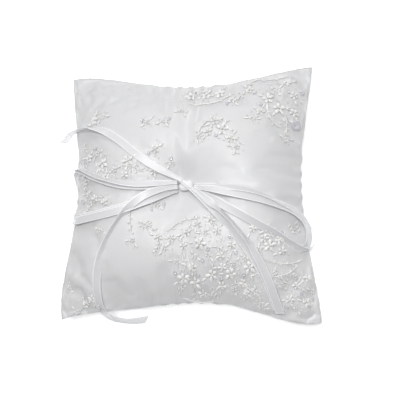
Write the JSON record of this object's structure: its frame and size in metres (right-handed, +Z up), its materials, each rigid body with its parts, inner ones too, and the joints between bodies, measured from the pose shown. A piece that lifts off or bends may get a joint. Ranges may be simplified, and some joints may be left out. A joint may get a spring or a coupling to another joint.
{
  "type": "ring bearer pillow",
  "caption": "Square satin cushion with a beaded lace front and a satin ribbon bow sewn into its tufted middle, for carrying and tying on wedding rings.",
  "frame": {"origin": "on the surface the pillow lies on, under the middle of the square", "axes": "+Z up, out of the lace front; +X to the right and +Y to the top of the pillow as seen from above, each along a side; the two loops of the bow lie towards -X and +X"},
  "size_m": [0.2231, 0.2107, 0.0573],
  "materials": {
    "pillow_satin": "smooth white satin with a soft sheen",
    "lace_net": "fine sheer white net",
    "filling": "loose white polyester fibre",
    "sewing_thread": "white sewing thread",
    "ribbon_satin": "glossy white double-faced satin",
    "embroidery": "raised ivory-white satin stitch",
    "embroidery_cord": "fine twisted ivory-white cord",
    "pearl_bead": "pearlescent",
    "clear_sequin": "clear, slightly iridescent plastic"
  },
  "bodies": {
    "root": {"back_cover": "pillow_satin", "back_tuft_stitch": "sewing_thread", "bow_knot": "ribbon_satin", "clear_sequins": "clear_sequin", "closing_stitches": "sewing_thread", "corded_stems": "embroidery_cord", "embroidered_blossoms": "embroidery", "embroidered_leaves": "embroidery", "fibre_filling": "filling", "front_cover": "pillow_satin", "lace_overlay": "lace_net", "ribbon_one_left_loop": "ribbon_satin", "ribbon_one_left_tail": "ribbon_satin", "ribbon_one_right_loop": "ribbon_satin", "ribbon_one_right_tail": "ribbon_satin", "ribbon_tack_stitch": "sewing_thread", "ribbon_two_left_loop": "ribbon_satin", "ribbon_two_left_tail": "ribbon_satin", "ribbon_two_right_loop": "ribbon_satin", "ribbon_two_right_tail": "ribbon_satin", "seam_thread": "sewing_thread", "seed_beads": "pearl_bead", "tuft_thread": "sewing_thread"}
  },
  "joints": []
}
